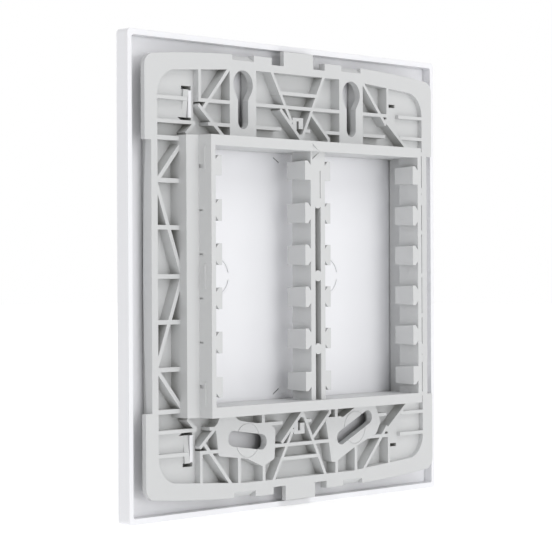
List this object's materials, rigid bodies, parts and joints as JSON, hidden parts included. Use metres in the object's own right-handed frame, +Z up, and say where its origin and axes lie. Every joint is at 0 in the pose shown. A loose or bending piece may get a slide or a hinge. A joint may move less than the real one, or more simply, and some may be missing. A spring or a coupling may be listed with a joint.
{
  "type": "blank wall plate",
  "caption": "Blank wall plate: square clip-on cover over a ribbed mounting frame with two toothed module openings, keyholes and slanted screw slots.",
  "frame": {"origin": "centre of the plate, on the flat wall-side face of the mounting frame that bears on the wall", "axes": "-Y out of the wall through the blank face, +Y into the wall, +Z up with the keyholes at the top, X across"},
  "size_m": [0.118, 0.0141, 0.118],
  "materials": {
    "frame_plastic": "fine matt light grey moulding",
    "cover_plastic": "smooth white moulding, soft sheen"
  },
  "bodies": {
    "frame": {"mounting_frame": "frame_plastic"},
    "cover": {"cover": "cover_plastic"}
  },
  "joints": [
    {"name": "cover_pull_off", "type": "slide", "parent": "frame", "child": "cover", "axis": [0, -1, 0], "range_m": [0, 0.016]}
  ]
}
